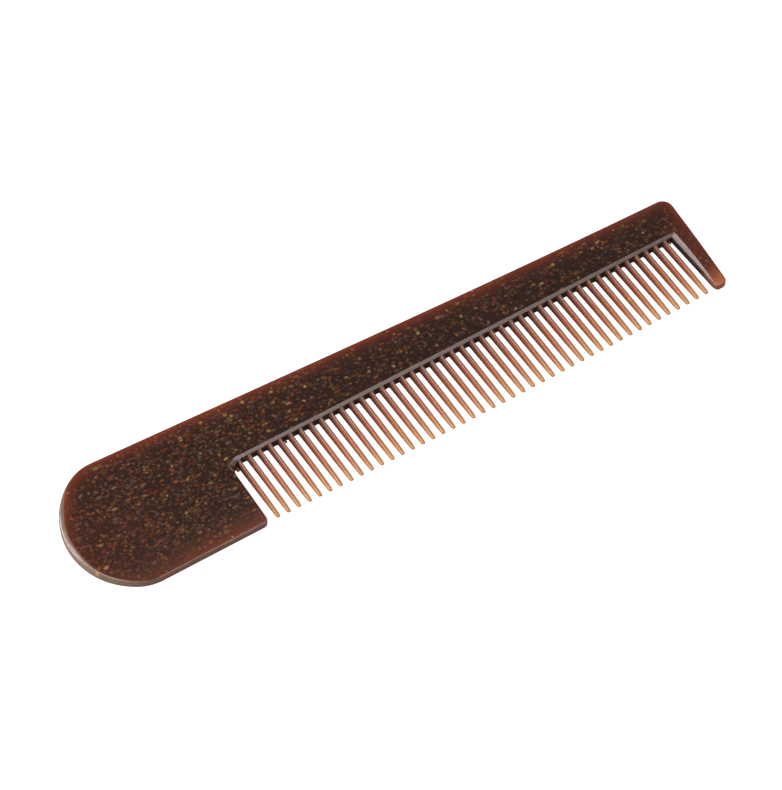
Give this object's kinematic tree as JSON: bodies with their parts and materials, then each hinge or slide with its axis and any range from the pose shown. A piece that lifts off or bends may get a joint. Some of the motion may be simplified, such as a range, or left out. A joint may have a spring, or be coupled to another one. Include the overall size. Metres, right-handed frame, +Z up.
{
  "type": "beard comb",
  "caption": "Flat moulded beard comb with a round-ended handle, a row of fine tapered teeth and a broad guard tooth at the end.",
  "frame": {"origin": "centre of the comb's box in plan, at the bottom face that the comb lies on", "axes": "+X along the row of teeth from the handle towards the guard tooth, +Y from the tooth tips towards the back, +Z up out of the flat face"},
  "size_m": [0.1488, 0.031, 0.0029],
  "materials": {
    "flecked_plastic": "glossy dark brown translucent plastic filled with fine tan, orange and grey plant flecks, glowing red-brown where it is thin at the edges",
    "tooth_plastic": "the same plastic where it is thin: translucent red-brown at the root, orange-tan at the tips"
  },
  "bodies": {
    "root": {"handle": "flecked_plastic", "back": "flecked_plastic", "end_guard": "flecked_plastic", "teeth": "tooth_plastic"}
  },
  "joints": []
}
